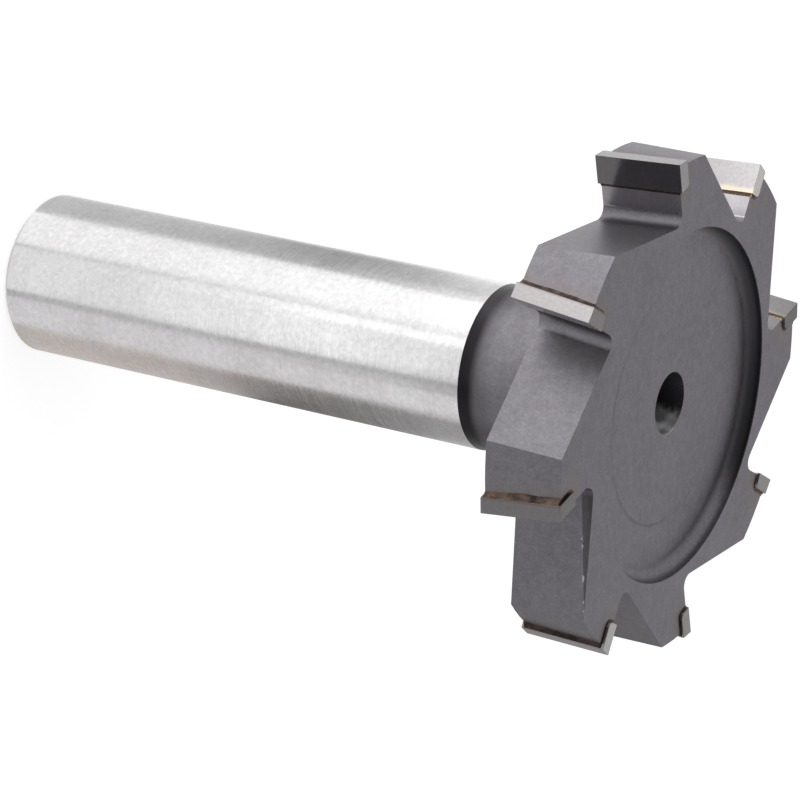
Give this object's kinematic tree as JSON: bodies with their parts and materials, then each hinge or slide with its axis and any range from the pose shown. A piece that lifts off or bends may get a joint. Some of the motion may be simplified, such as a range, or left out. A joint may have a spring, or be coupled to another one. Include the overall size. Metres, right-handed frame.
{
  "type": "woodruff keyseat cutter",
  "caption": "Shank-type woodruff keyseat cutter: a staggered-tooth disc head with brazed hard tips on a ground straight shank, for milling half-round keyseats.",
  "frame": {"origin": "centre of the shank's end face, on which the cutter stands", "axes": "+Z along the axis from the shank's end to the head, +X through the cutting edge of tip 1"},
  "size_m": [0.0382, 0.0382, 0.0571],
  "materials": {
    "tool_steel": "ground bright on the shank, dark bead-blasted on neck and head",
    "carbide": "fine ground",
    "braze": "dull, heat tinted"
  },
  "bodies": {
    "root": {"cutter_body": "tool_steel", "carbide_tip_1": "carbide", "braze_seam_1": "braze", "carbide_tip_2": "carbide", "braze_seam_2": "braze", "carbide_tip_3": "carbide", "braze_seam_3": "braze", "carbide_tip_4": "carbide", "braze_seam_4": "braze", "carbide_tip_5": "carbide", "braze_seam_5": "braze", "carbide_tip_6": "carbide", "braze_seam_6": "braze", "carbide_tip_7": "carbide", "braze_seam_7": "braze", "carbide_tip_8": "carbide", "braze_seam_8": "braze"}
  },
  "joints": []
}
